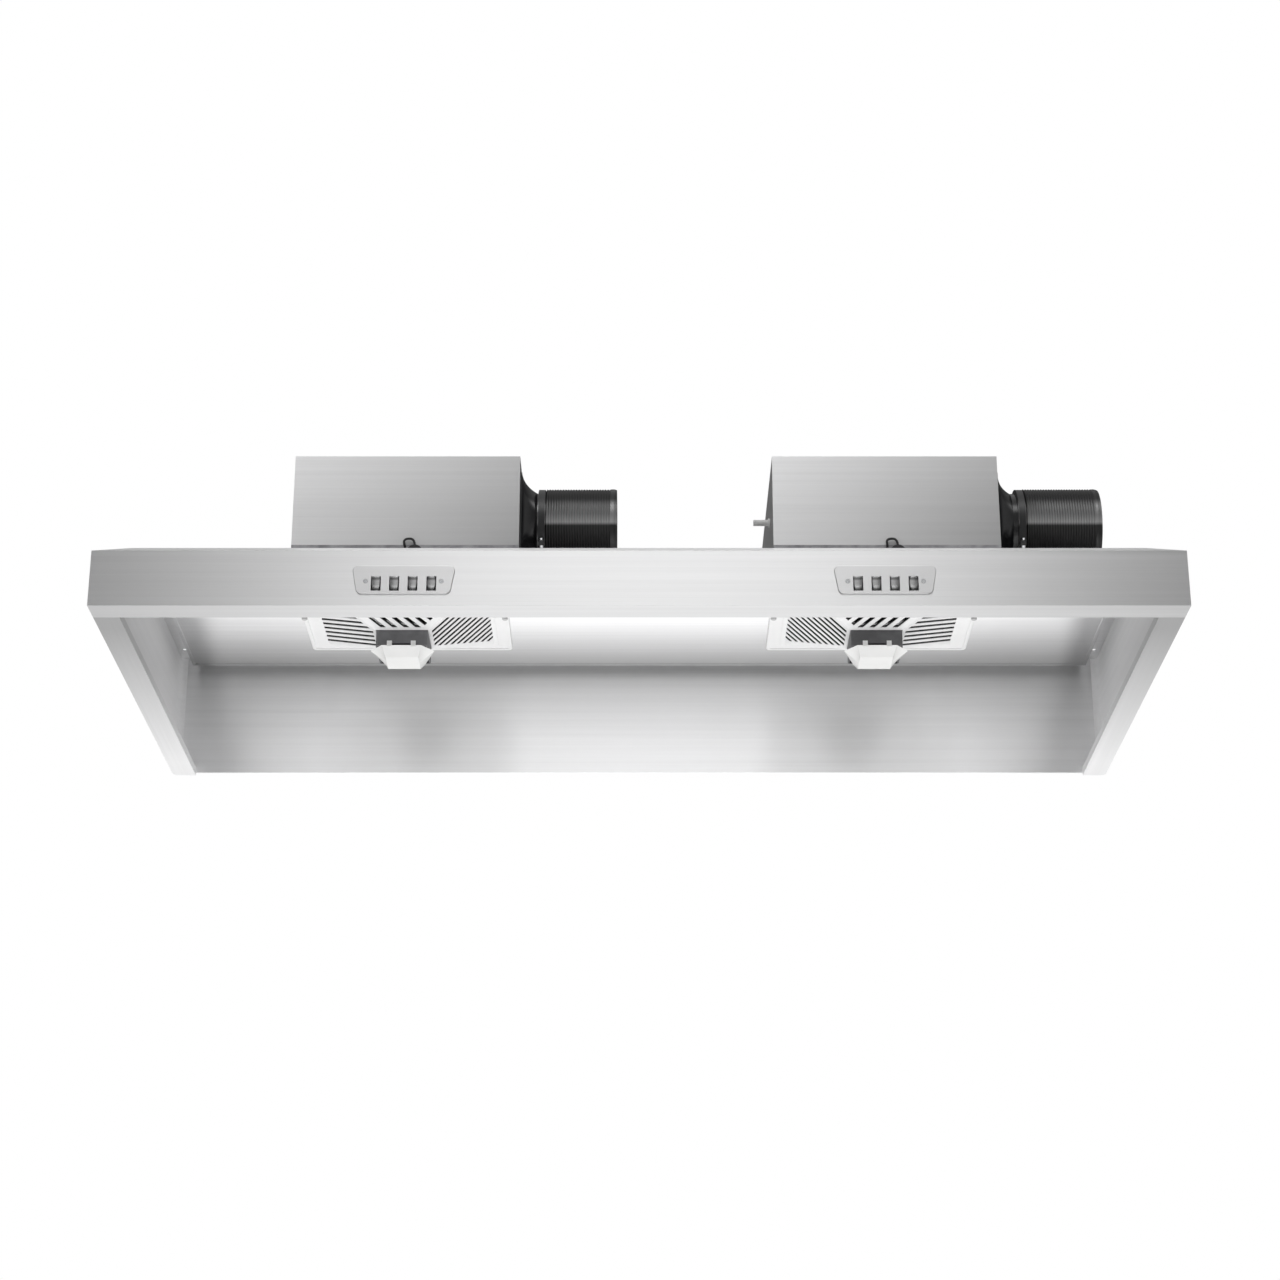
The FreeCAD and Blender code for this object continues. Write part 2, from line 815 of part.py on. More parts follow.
# Gland for the supply, only on the right-hand box
gland_tip = (-box_side - gland_length, gland_y, gland_z)
gland_end = (-box_side + 2 * gland_nut, gland_y, gland_z)
gland = rod(gland_radius, gland_tip, gland_end)
nut = rod(
    gland_nut_radius, (-box_side - gland_nut, gland_y, gland_z), (-box_side, gland_y, gland_z)
)
gland = gland.fuse(nut).cut(rod(gland_radius - gland_wall, gland_tip, gland_end))
gland = gland.removeSplitter()


# ---- Outlet adapter: square flange, concave taper, round collar
def section(x, half_y, half_z, radius):
    """A closed outline of four straight sides and four round corners across the duct."""
    quarter = math.pi / 2
    edges = []
    corners = ((1, 1), (-1, 1), (-1, -1), (1, -1))
    for i, (sy, sz) in enumerate(corners):
        cy = duct_y + sy * (half_y - radius)
        cz = duct_z + sz * (half_z - radius)
        arc = []
        for share in (0, 0.5, 1):
            angle = i * quarter + share * quarter
            arc.append(V(x, cy + radius * math.cos(angle), cz + radius * math.sin(angle)))
        following = corners[(i + 1) % len(corners)]
        end_angle = (i + 1) * quarter
        end = V(
            x,
            duct_y + following[0] * (half_y - radius) + radius * math.cos(end_angle),
            duct_z + following[1] * (half_z - radius) + radius * math.sin(end_angle),
        )
        edges.append(Part.Arc(*arc).toShape())
        edges.append(Part.makeLine(arc[2], end))
    return Part.Wire(edges)


def taper(shrink, start, length, radius):
    """The loft from the mouth to the collar, with every section smaller by one wall."""
    sections = []
    for share in (0.0, adapter_easing, 1.0):
        eased = 1 - (1 - share) ** 2
        half_y = (adapter_mouth_y / 2 - shrink) * (1 - eased) + radius * eased
        half_z = (adapter_mouth_z / 2 - shrink) * (1 - eased) + radius * eased
        corner = adapter_flange_fillet * (1 - eased) + radius * eased
        corner = min(corner, min(half_y, half_z) - shortest_flat)
        sections.append(section(start + length * share, half_y, half_z, corner))
    return Part.makeLoft(sections, True, False)


flange_x = box_side + adapter_flange
collar_x = flange_x + adapter_taper
collar_end = collar_x + collar_length
bore_radius = collar_radius - adapter_wall
plate_block = block(
    box_side,
    flange_x,
    duct_y - adapter_flange_y / 2,
    duct_y + adapter_flange_y / 2,
    duct_z - adapter_flange_z / 2,
    duct_z + adapter_flange_z / 2,
)
adapter = rounded(plate_block, adapter_flange_fillet, X)
adapter = adapter.fuse(taper(-adapter_wall, flange_x, adapter_taper, collar_radius))
adapter = adapter.fuse(rod(collar_radius, (collar_x, duct_y, duct_z), (collar_end, duct_y, duct_z)))
adapter = adapter.cut(taper(0, flange_x, adapter_taper, bore_radius))
adapter = adapter.cut(
    block(
        box_side,
        flange_x,
        duct_y - adapter_mouth_y / 2 + adapter_wall,
        duct_y + adapter_mouth_y / 2 - adapter_wall,
        duct_z - adapter_mouth_z / 2 + adapter_wall,
        duct_z + adapter_mouth_z / 2 - adapter_wall,
    )
)
adapter = adapter.cut(rod(bore_radius, (collar_x, duct_y, duct_z), (collar_end, duct_y, duct_z)))
pivot_x = collar_x + flap_back
pivot_z = duct_z + flap_offset
trunnion_reach = collar_radius - hose_cuff_clearance
adapter = adapter.cut(
    rod(
        trunnion_radius + trunnion_running_clearance,
        (pivot_x, duct_y - collar_radius - past, pivot_z),
        (pivot_x, duct_y + collar_radius + past, pivot_z),
    )
)
adapter = adapter.removeSplitter()

flap_radius = bore_radius - flap_clearance
flap = rod(
    flap_radius,
    (pivot_x - flap_thickness / 2, duct_y, duct_z),
    (pivot_x + flap_thickness / 2, duct_y, duct_z),
)
trunnion = rod(
    trunnion_radius,
    (pivot_x, duct_y - trunnion_reach, pivot_z),
    (pivot_x, duct_y + trunnion_reach, pivot_z),
)
flap = flap.fuse(trunnion).removeSplitter()

# ---- Hose: smooth cuff on the collar, ribbed run, thick rounded end
cuff_inner = collar_radius + hose_cuff_clearance
cuff_outer = cuff_inner + hose_cuff_wall
hose_radius = cuff_outer + hose_swell
hose_end_radius = hose_radius - hose_end_wall


def duct_hose(start, length):
    rib_start = start + hose_cuff
    rib_end = start + length - hose_end_round
    rib_count = round((rib_end - rib_start) / rib_pitch)
    pitch = (rib_end - rib_start) / rib_count
    far = start + length
    crest = hose_radius - hose_wall - rib_height
    inner_count = rib_count - math.ceil((hose_end - hose_end_round) / pitch)
    outside = [(start, cuff_inner), (start, cuff_outer), (rib_start, cuff_outer)]
    for i in range(rib_count):
        outside.append((rib_start + pitch * (i + 0.5), hose_radius))
        outside.append((rib_start + pitch * (i + 1), hose_radius - rib_height))
    outside[-1] = (rib_end, hose_radius)
    inside = [(rib_start + pitch * inner_count, hose_end_radius)]
    for i in reversed(range(inner_count)):
        inside.append((rib_start + pitch * (i + 0.5), crest))
        inside.append((rib_start + pitch * i, crest - rib_height))
    inside[-1] = (rib_start, cuff_inner)
    reach = hose_radius - hose_end_inset
    bend = V(
        rib_end + (far - rib_end) * math.sin(math.pi / 4),
        duct_y,
        duct_z + reach + hose_end_inset * math.cos(math.pi / 4),
    )
    corner = V(rib_end, duct_y, duct_z + hose_radius)
    face = V(far, duct_y, duct_z + reach)
    points = [V(x, duct_y, duct_z + r) for x, r in outside]
    edges = [Part.makeLine(p, q) for p, q in zip(points, points[1:])]
    edges.append(Part.Arc(corner, bend, face).toShape())
    lip = V(far, duct_y, duct_z + hose_end_radius)
    edges.append(Part.makeLine(face, lip))
    back = [lip] + [V(x, duct_y, duct_z + r) for x, r in inside] + [points[0]]
    edges += [Part.makeLine(p, q) for p, q in zip(back, back[1:])]
    return Part.Face(Part.Wire(edges)).revolve(V(0, duct_y, duct_z), X, 360)


def hose_clamp(start):
    """The moulded band with its ear, and the screw through the ear."""
    band_x = start + clamp_gap
    band_end = band_x + clamp_width
    middle = (band_x + band_end) / 2
    ear_x, ear_thick, ear_out = clamp_ear
    ear_root = duct_y - cuff_outer
    band = rod(cuff_outer + clamp_band, (band_x, duct_y, duct_z), (band_end, duct_y, duct_z))
    ear = block(
        middle - ear_x / 2,
        middle + ear_x / 2,
        ear_root - ear_out,
        ear_root + clamp_ear_root,
        duct_z - ear_thick / 2,
        duct_z + ear_thick / 2,
    )
    screw_y = ear_root - ear_out + clamp_screw_head_radius
    low, high = duct_z - ear_thick / 2, duct_z + ear_thick / 2
    shank = rod(
        clamp_screw_radius,
        (middle, screw_y, low - clamp_screw_head),
        (middle, screw_y, high + clamp_screw_head),
    )
    head = rod(
        clamp_screw_head_radius, (middle, screw_y, low - clamp_screw_head), (middle, screw_y, low)
    )
    bore = rod(cuff_outer, (band_x, duct_y, duct_z), (band_end, duct_y, duct_z))
    band = band.fuse(ear.cut(shank)).cut(bore)
    screw = shank.fuse(head).removeSplitter()
    for piece in (band, screw):
        piece.rotate(V(0, duct_y, duct_z), X, clamp_angle)
    return band.removeSplitter(), screw


# ---- Lead: out under the box through the gasket, up, over and down through its grommet
lead_y = behind(lead_back)
lead_z = canopy_height + gasket_thickness / 2
lead_top = canopy_height + lead_rise
arch_z = lead_top - lead_radius - lead_bend
lead_right = lead_offset + lead_bend
turn_y = lead_y + lead_turn
path_points = {
    "inside": V(lead_left, behind(box_front + lead_inside), lead_z),
    "bend_in": V(lead_left, turn_y, lead_z),
    "bend_out": V(lead_left, lead_y, lead_z + lead_turn),
    "arch_in": V(lead_left, lead_y, arch_z),
    "arch_top": V(lead_offset, lead_y, arch_z + lead_bend),
    "arch_out": V(lead_right, lead_y, arch_z),
    "end": V(lead_right, lead_y, top_inner_z - 2 * sheet),
}
slant = lead_turn * (1 - math.sqrt(0.5))
bend_mid = V(lead_left, lead_y + slant, lead_z + slant)
at = path_points
lead_path = Part.Wire(
    [
        Part.LineSegment(at["inside"], at["bend_in"]).toShape(),
        Part.Arc(at["bend_in"], bend_mid, at["bend_out"]).toShape(),
        Part.LineSegment(at["bend_out"], at["arch_in"]).toShape(),
        Part.Arc(at["arch_in"], at["arch_top"], at["arch_out"]).toShape(),
        Part.LineSegment(at["arch_out"], at["end"]).toShape(),
    ]
)
start_circle = Part.Wire(Part.Circle(at["inside"], Y, lead_radius).toShape())
lead = lead_path.makePipeShell([start_circle], True, False)
lead_section = math.pi * lead_radius**2
print("lead: volume over section times length", lead.Volume / (lead_section * lead_path.Length))

grommet_low = canopy_height
dome = Part.Face(
    Part.Wire(
        [
            Part.Arc(
                V(lead_right - grommet_width / 2, 0, grommet_low),
                V(lead_right, 0, grommet_low + grommet_rise),
                V(lead_right + grommet_width / 2, 0, grommet_low),
            ).toShape(),
            Part.makeLine(
                V(lead_right + grommet_width / 2, 0, grommet_low),
                V(lead_right - grommet_width / 2, 0, grommet_low),
            ),
        ]
    )
).extrude(V(0, grommet_depth, 0))
dome.translate(V(0, lead_y - grommet_depth / 2, 0))
neck = centred(
    lead_right,
    lead_y,
    grommet_neck,
    grommet_depth - 2 * sheet,
    top_inner_z - sheet,
    grommet_low,
)
grommet = dome.fuse(neck).cut(
    rod(lead_radius + grommet_clearance, (lead_right, lead_y, 0), (lead_right, lead_y, lead_top))
)
grommet = grommet.cut(
    centred(
        lead_left,
        lead_y,
        2 * lead_room,
        grommet_depth,
        grommet_low,
        lead_top,
    )
)
grommet = grommet.removeSplitter()

unit_pieces = {
    "box_gasket": gasket,
    "blower_box": shell,
    "scroll": scroll,
    "motor": motor,
    "motor_bracket": bracket,
    "motor_shaft": shaft,
    "impeller": wheel,
    "capacitor": capacitor,
    "duct_adapter": adapter,
    "damper_flap": flap,
    "lead_loop": lead,
    "lead_grommet": grommet,
}
clamp_screws = []
for name, x in units:
    place = V(x, 0, 0)
    hose_x = collar_x + hose_starts[name]
    band, screw = hose_clamp(hose_x)
    clamp_screws.append(screw.translated(place))
    pieces = dict(unit_pieces, duct_hose=duct_hose(hose_x, hose_lengths[name]), hose_clamp=band)
    if name == "right":
        pieces["blower_box"] = shell.cut(gland_hole)
        save("cable_gland", gland.translated(place))
    for piece, shape in pieces.items():
        save(piece + "_" + name, shape.translated(place))
save("clamp_screws", *clamp_screws)

# Screws through the canopy and the gasket into the box's flange
box_screws = []
for x, y in box_screws_at:
    shank = rod(box_screw_radius, (x, y, top_inner_z), (x, y, scroll_z + box_screw_head))
    head = rod(box_screw_head_radius, (x, y, top_inner_z - box_screw_head), (x, y, top_inner_z))
    box_screws.append(shank.fuse(head).removeSplitter())
save("box_screws", *box_screws)

# ---- One grille, made about X = 0 with its lattice turned for the left side
grille_y = behind(grille_back)
plate_low = ceiling_z - grille_plate
inner_side = grille_side - 2 * grille_border
border = rounded(
    centred(0, grille_y, grille_side, grille_side, plate_low, ceiling_z), grille_fillet, Z
)
low_edges = [e for e in border.Edges if e.BoundBox.ZMax < plate_low + close]
border = border.makeFillet(grille_edge_fillet, low_edges)
border = border.cut(centred(0, grille_y, inner_side, inner_side, plate_low, ceiling_z))
recess_side = grille_side - 2 * grille_step
border = border.cut(
    centred(0, grille_y, recess_side, recess_side, plate_low, plate_low + pyramid_wall / 2).cut(
        centred(
            0,
            grille_y,
            inner_side + grille_step,
            inner_side + grille_step,
            plate_low,
            plate_low + pyramid_wall / 2,
        )
    )
)
spigot_side = inner_side - 2 * spigot_clearance
spigot = centred(0, grille_y, spigot_side, spigot_side, plate_low, ceiling_top + spigot_height)
spigot = spigot.cut(
    centred(
        0,
        grille_y,
        spigot_side - 2 * spigot_wall,
        spigot_side - 2 * spigot_wall,
        plate_low,
        ceiling_top + spigot_height,
    )
)
step_fill = centred(0, grille_y, inner_side + past, inner_side + past, plate_low, ceiling_z).cut(
    centred(
        0,
        grille_y,
        spigot_side - 2 * spigot_wall,
        spigot_side - 2 * spigot_wall,
        plate_low,
        ceiling_z,
    )
)


def frustum(z0, side0, z1, side1):
    """A four-sided taper between two squares about the grille's axis."""
    ends = []
    for z, side in ((z0, side0), (z1, side1)):
        s = side / 2
        ends.append(
            Part.makePolygon(
                [
                    V(-s, grille_y - s, z),
                    V(s, grille_y - s, z),
                    V(s, grille_y + s, z),
                    V(-s, grille_y + s, z),
                    V(-s, grille_y - s, z),
                ]
            )
        )
    return Part.makeLoft(ends, True, True)


pyramid_top = plate_low + pyramid_wall / 2
pyramid_low = pyramid_top - pyramid_drop + pyramid_wall / 2
pyramid_outer = frustum(pyramid_low, hub_side, pyramid_top, inner_side)
pyramid_inner = frustum(
    pyramid_low + pyramid_wall, hub_side, pyramid_top + pyramid_wall, inner_side
)
lattice = pyramid_outer.cut(pyramid_inner)
lattice = lattice.cut(
    centred(0, grille_y, hub_side, hub_side, pyramid_low - past, pyramid_top + pyramid_wall + past)
)


def slot_cutters(turn):
    """Upright slots over one face, side by side, all along one diagonal."""
    reach = inner_side / 2
    sector = polygon(
        [
            (0, grille_y - ridge_width / math.sqrt(2), 0),
            (reach - ridge_width / math.sqrt(2), grille_y - reach, 0),
            (-reach + ridge_width / math.sqrt(2), grille_y - reach, 0),
        ]
    ).extrude(V(0, 0, canopy_height))
    sector = sector.cut(
        centred(0, grille_y, hub_side + 2 * hub_wall, hub_side + 2 * hub_wall, 0, canopy_height)
    )
    slots = []
    count = int(2 * reach / slat_pitch)
    for i in range(-count, count + 1):
        slot = block(
            -2 * reach,
            2 * reach,
            slat_pitch * i - slat_gap / 2,
            slat_pitch * i + slat_gap / 2,
            0,
            canopy_height,
        )
        slot.rotate(V(0, 0, 0), Z, 45)
        slot.translate(V(0, grille_y, 0))
        piece = slot.common(sector)
        if piece.Volume > slat_gap * slat_gap * canopy_height:
            slots.append(piece)
    return [s.rotated(V(0, grille_y, 0), Z, turn) for s in slots]


for turn in (0, 90, 180, 270):
    lattice = lattice.cut(Part.makeCompound(slot_cutters(turn)))
hub_ring = centred(0, grille_y, hub_side, hub_side, pyramid_low, pyramid_low + 2 * pyramid_wall)
hub_ring = hub_ring.cut(
    centred(
        0,
        grille_y,
        hub_side - 2 * hub_wall,
        hub_side - 2 * hub_wall,
        pyramid_low,
        pyramid_low + 2 * pyramid_wall,
    )
)
grille = border.multiFuse([spigot, step_fill, lattice, hub_ring]).removeSplitter()

knob_x = grille_side / 2 - knob_from_edge
knobs = []
for side in (-1, 1):
    start = (side * knob_x, grille_y, plate_low)
    end = (side * knob_x, grille_y, plate_low - knob_length)
    knob = rod(knob_radius, start, end)
    tip = [e for e in knob.Edges if abs(e.BoundBox.ZMax - plate_low + knob_length) < close]
    knobs.append(knob.makeFillet(knob_fillet, tip))

collar_side = hub_side - 2 * collar_inset
collar_bottom = pyramid_low - collar_height
cup_rim_z = collar_bottom - cup_gap
cup_bottom_z = cup_rim_z - cup_height
cup_rim_side = collar_side + 2 * cup_side_reach
cup_rim_depth = collar_side + 2 * cup_front_reach
collar = centred(0, grille_y, collar_side, collar_side, collar_bottom, pyramid_low)
collar = rounded(collar, 2 * collar_wall, Z)
collar_bore = collar_side - 2 * collar_wall
collar = collar.cut(centred(0, grille_y, collar_bore, collar_bore, collar_bottom, pyramid_low))
notch_top = collar_bottom + collar_notch_height
collar = collar.cut(centred(0, grille_y, collar_notch, collar_side, collar_bottom, notch_top))


def cup_outline(z, share, shrink):
    """The cup's six-sided outline between its base (share 0) and its rim (share 1)."""
    front = (cup_base / 2) * (1 - share) + (cup_rim_front / 2) * share - shrink
    side = (cup_base / 2) * (1 - share) + (cup_rim_side / 2) * share - shrink
    reach = (cup_base / 2) * (1 - share) + (cup_rim_depth / 2) * share - shrink
    point = -cup_side_point * share
    corners = [(-front, -reach), (front, -reach), (side, point)]
    corners += [(front, reach), (-front, reach), (-side, point)]
    ring = [V(x, grille_y + y, z) for x, y in corners]
    return Part.makePolygon(ring + ring[:1])


floor_z = cup_bottom_z + cup_floor
floor_share = cup_floor / (cup_rim_z - cup_bottom_z)
cup = Part.makeLoft([cup_outline(cup_bottom_z, 0, 0), cup_outline(cup_rim_z, 1, 0)], True, True)
hollow = [cup_outline(floor_z, floor_share, cup_wall), cup_outline(cup_rim_z, 1, cup_wall)]
cup = cup.cut(Part.makeLoft(hollow, True, True))
lug_x, lug_y, lug_z = cup_lug
lug_near = collar_side / 2 + cup_lug_clearance
lugs = []
for face in (-1, 1):
    for side in (-1, 1):
        middle = side * cup_lug_offset
        y0, y1 = sorted((grille_y + face * lug_near, grille_y + face * (lug_near + lug_y)))
        lug = block(
            middle - lug_x / 2, middle + lug_x / 2, y0, y1, cup_rim_z - cup_wall, cup_rim_z + lug_z
        )
        lugs.append(lug)
cup = cup.multiFuse(lugs).removeSplitter()

mirror_plane = (V(0, 0, 0), X)
for name, side in (("left", -1), ("right", 1)):
    move = V(side * grille_offset, 0, 0)
    pieces = {"grille": grille, "grease_collar": collar, "oil_cup": cup}
    for piece, shape in pieces.items():
        placed = shape if side < 0 else shape.mirror(*mirror_plane)
        save(piece + "_" + name, placed.translated(move))
    save("grille_knobs_" + name, *[k.translated(move) for k in knobs])
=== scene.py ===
import math

import bmesh
import bpy
from mathutils import Matrix, Vector


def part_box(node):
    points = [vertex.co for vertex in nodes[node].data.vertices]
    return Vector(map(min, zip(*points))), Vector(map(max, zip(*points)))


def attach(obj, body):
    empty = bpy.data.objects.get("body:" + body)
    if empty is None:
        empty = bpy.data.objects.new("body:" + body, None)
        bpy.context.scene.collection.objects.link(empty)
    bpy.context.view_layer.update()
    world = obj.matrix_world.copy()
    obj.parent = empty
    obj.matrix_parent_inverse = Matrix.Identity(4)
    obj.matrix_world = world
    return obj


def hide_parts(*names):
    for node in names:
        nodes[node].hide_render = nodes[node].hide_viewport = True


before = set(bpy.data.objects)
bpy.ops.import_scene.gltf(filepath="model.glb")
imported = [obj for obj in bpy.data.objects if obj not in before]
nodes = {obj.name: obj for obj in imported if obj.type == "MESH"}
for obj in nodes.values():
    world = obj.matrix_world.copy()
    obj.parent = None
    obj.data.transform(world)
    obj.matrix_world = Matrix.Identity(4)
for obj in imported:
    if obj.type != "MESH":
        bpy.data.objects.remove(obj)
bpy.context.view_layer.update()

# ---- Folded stainless canopy ----------------------------------------------------------------
# Fascia, sloped top, side panels and back are one grade of 1.2 mm brushed sheet, folded and
# spot-welded. The belt leaves fine scratches along each panel's length, so a reflection is
# sharp along the grain and smeared across it.


def shader(material, kind, **settings):
    """A node of this kind, with its named inputs or its own settings filled in."""
    made = material.node_tree.nodes.new(kind)
    for key, value in settings.items():
        if key in made.inputs:
            made.inputs[key].default_value = value
        else:
            setattr(made, key, value)
    return made


def feed(material, output, node, socket):
    """Runs an output into a node's socket."""
    material.node_tree.links.new(output, node.inputs[socket])


def reckon(material, operation, *terms, clamped=False):
    """The output of one sum, whose terms are numbers or other nodes' outputs."""
    made = shader(material, "ShaderNodeMath", operation=operation, use_clamp=clamped)
    for socket, term in enumerate(terms):
        if isinstance(term, (int, float)):
            made.inputs[socket].default_value = term
        else:
            feed(material, term, made, socket)
    return made.outputs[0]


def ranged(material, value, start, end, low=0, high=1, clamp=True):
    """Turns a value that runs from start to end into one that runs from low to high."""
    made = shader(material, "ShaderNodeMapRange", clamp=clamp)
    reach = {"From Min": start, "From Max": end, "To Min": low, "To Max": high}
    for socket, number in reach.items():
        made.inputs[socket].default_value = number
    feed(material, value, made, "Value")
    return made.outputs["Result"]


def tones(material, value, stops, between="LINEAR"):
    """A ramp of greys or colours over a value."""
    made = shader(material, "ShaderNodeValToRGB")
    made.color_ramp.interpolation = between
    while len(made.color_ramp.elements) < len(stops):
        made.color_ramp.elements.new(0.5)
    for element, (at, grey) in zip(made.color_ramp.elements, stops):
        element.position = at
        colour = grey if isinstance(grey, tuple) else (grey, grey, grey * 1.004)
        element.color = (*colour, 1)
    feed(material, value, made, "Fac")
    return made.outputs["Color"]


def places(material, stretch=(1, 1, 1)):
    """Places on the piece, drawn out differently along X, Y and Z."""
    scale = shader(material, "ShaderNodeMapping", Scale=stretch)
    feed(material, shader(material, "ShaderNodeTexCoord").outputs["Object"], scale, "Vector")
    return scale.outputs["Vector"]


def noise(material, stretch, **settings):
    """An irregular texture over the piece."""
    made = shader(material, "ShaderNodeTexNoise", **settings)
    feed(material, places(material, stretch), made, "Vector")
    return made.outputs["Fac"]


def blank_finish(name, roughness, metallic=0.0, **sockets):
    """A new material and its surface shader."""
    material = bpy.data.materials.new(name)
    material.use_nodes = True
    surface = material.node_tree.nodes["Principled BSDF"]
    surface.inputs["Roughness"].default_value = roughness
    surface.inputs["Metallic"].default_value = metallic
    for key, value in sockets.items():
        surface.inputs[key.replace("_", " ")].default_value = value
    return material, surface


def raised(material, surface, texture, strength, height):
    """Lifts the surface wherever its texture is pale."""
    bump = shader(material, "ShaderNodeBump", Strength=strength, Distance=height)
    feed(material, texture, bump, "Height")
    feed(material, bump.outputs["Normal"], surface, "Normal")


# Painted shade: a colour made darker evenly along a direction.
def painted_shade_fade(material, colour, direction, start, end, shade):
    """Darkens a colour evenly along a direction, to a share of itself at the end."""
    along = shader(material, "ShaderNodeVectorMath", operation="DOT_PRODUCT")
    along.inputs[1].default_value = direction
    feed(material, places(material), along, 0)
    made = shader(material, "ShaderNodeMixRGB", blend_type="MULTIPLY", Fac=1)
    feed(material, colour, made, "Color1")
    feed(material, ranged(material, along.outputs["Value"], start, end, 1, shade), made, "Color2")
    return made.outputs["Color"]


def brushed_stainless(
    name, grain, across, tone=0.86, rough=0.34, contrast=0.05, fades=(), sheen=1.0
):
    """Stainless sheet with belt scratches along one axis; across is where light smears.
    Each of fades is painted shade (direction, start, end, shade), darkening to that share.
    sheen is how much of the light it mirrors; the rest it scatters."""
    material, surface = blank_finish(name, rough, sheen, Anisotropic=0.85)
    fine = tuple(4.0 if axis == grain else 900.0 for axis in "XYZ")
    broad = tuple(0.8 if axis == grain else 160.0 for axis in "XYZ")
    scratches = noise(material, fine, Scale=1.0, Detail=5.0, Roughness=0.7)
    streaks = noise(material, broad, Scale=1.0, Detail=2.0)
    brushing = reckon(material, "MULTIPLY", reckon(material, "ADD", scratches, streaks), 0.5)
    greys = [(0.3, tone * (1 - contrast)), (0.7, tone * (1 + contrast))]
    colour = tones(material, brushing, greys)
    for fade in fades:
        colour = painted_shade_fade(material, colour, *fade)
    feed(material, colour, surface, "Base Color")
    gloss = ranged(material, brushing, 0, 1, rough - 0.05, rough + 0.05)
    feed(material, gloss, surface, "Roughness")
    raised(material, surface, scratches, 0.12, 0.0002)
    smear = shader(material, "ShaderNodeCombineXYZ", **dict(zip("XYZ", across)))
    feed(material, smear.outputs["Vector"], surface, "Tangent")
    return material


def dress(material, *names):
    """Gives CAD nodes this material."""
    for name in names:
        nodes[name].data.materials.clear()
        nodes[name].data.materials.append(material)


upward, rearward, inward = (0, 0, 1), (0, 1, 0), (0, 0.7, 0.7)
fascia_sheet = brushed_stainless("stainless_fascia", "X", inward, tone=0.66)
top_sheet = brushed_stainless("stainless_top", "X", inward)
# The side panels carry painted shade, darker towards the front.
side_sheet = brushed_stainless(
    "stainless_side", "Y", (0.7, 0, 0.7), tone=0.97, rough=0.42, sheen=0.2,
    fades=[(rearward, 0.24, -0.22, 0.42)],
)
# The back carries painted shade, darker towards its top.
rear_sheet = brushed_stainless(
    "stainless_back", "X", inward, tone=0.95, fades=[(upward, 0.03, 0.14, 0.8)]
)
# The ceiling carries painted shade, darker towards the rear.
ceiling_sheet = brushed_stainless(
    "stainless_ceiling", "X", inward, tone=0.95, fades=[(rearward, 0.1, 0.26, 0.5)]
)
dress(fascia_sheet, "front_fascia")
dress(top_sheet, "top_plate")
dress(rear_sheet, "back_panel")
dress(ceiling_sheet, "ceiling_panel")
dress(side_sheet, "side_panel_left", "side_panel_right")


def rod(name, kind, route, radius, facets, material):
    """A round rod or lead fixed to the canopy, straight or eased between its points."""
    line = bpy.data.curves.new(name, "CURVE")
    line.dimensions = "3D"
    line.bevel_depth = radius
    line.bevel_resolution = facets
    line.use_fill_caps = True
    run = line.splines.new(kind)
    run.points.add(len(route) - 1)
    for point, place in zip(run.points, route):
        point.co = (*place, 1)
    run.order_u = 3
    run.use_endpoint_u = True
    run.resolution_u = 24
    line.materials.append(material)
    made = bpy.data.objects.new(name, line)
    bpy.context.scene.collection.objects.link(made)
    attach(made, "canopy")
    return made


# The ceiling tray's folded hem runs along three sides, near-white and matte: a painted glint.
painted_glint_steel = brushed_stainless("painted_glint_fold", "X", inward, tone=0.97, rough=0.5, sheen=0.1)
hem_radius = 0.0009
hem_start = 0.02
tray_low, tray_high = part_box("ceiling_panel")
left, right = tray_low[0] + hem_radius, tray_high[0] - hem_radius
front, rear = tray_low[1] + hem_start, tray_high[1] - hem_radius
low = tray_low[2] + hem_radius
folded = [(left, front, low), (left, rear, low), (right, rear, low), (right, front, low)]
fold = rod("ceiling_hem_fold", "POLY", folded, hem_radius, 3, painted_glint_steel)

# ---- Blower boxes ---------------------------------------------------------------------------
# Each fan sits in a folded box of the same stainless sheet, seated on a strip of grey foam and
# screwed up through the canopy from inside. The outer face of each box carries painted shade,
# darker towards its lower right corner; its sides and top are painted darker still.


def grained(name, grey, roughness, metallic=0.0, grain=400.0, contrast=0.12, depth=0.15):
    """A moulded, cast or coated finish: mottled tone and gloss over a fine raised grain."""
    material, surface = blank_finish(name, roughness, metallic)
    mottle = noise(material, (1, 1, 1), Scale=grain / 12, Detail=4.0)
    dark = tuple(value * (1 - contrast) for value in grey)
    pale = tuple(min(value * (1 + contrast), 1.0) for value in grey)
    feed(material, tones(material, mottle, [(0.35, dark), (0.65, pale)]), surface, "Base Color")
    gloss = ranged(material, mottle, 0, 1, max(roughness - 0.06, 0.03), roughness + 0.06)
    feed(material, gloss, surface, "Roughness")
    skin = noise(material, (1, 1, 1), Scale=grain, Detail=2.0)
    raised(material, surface, skin, depth, 0.0003)
    return material


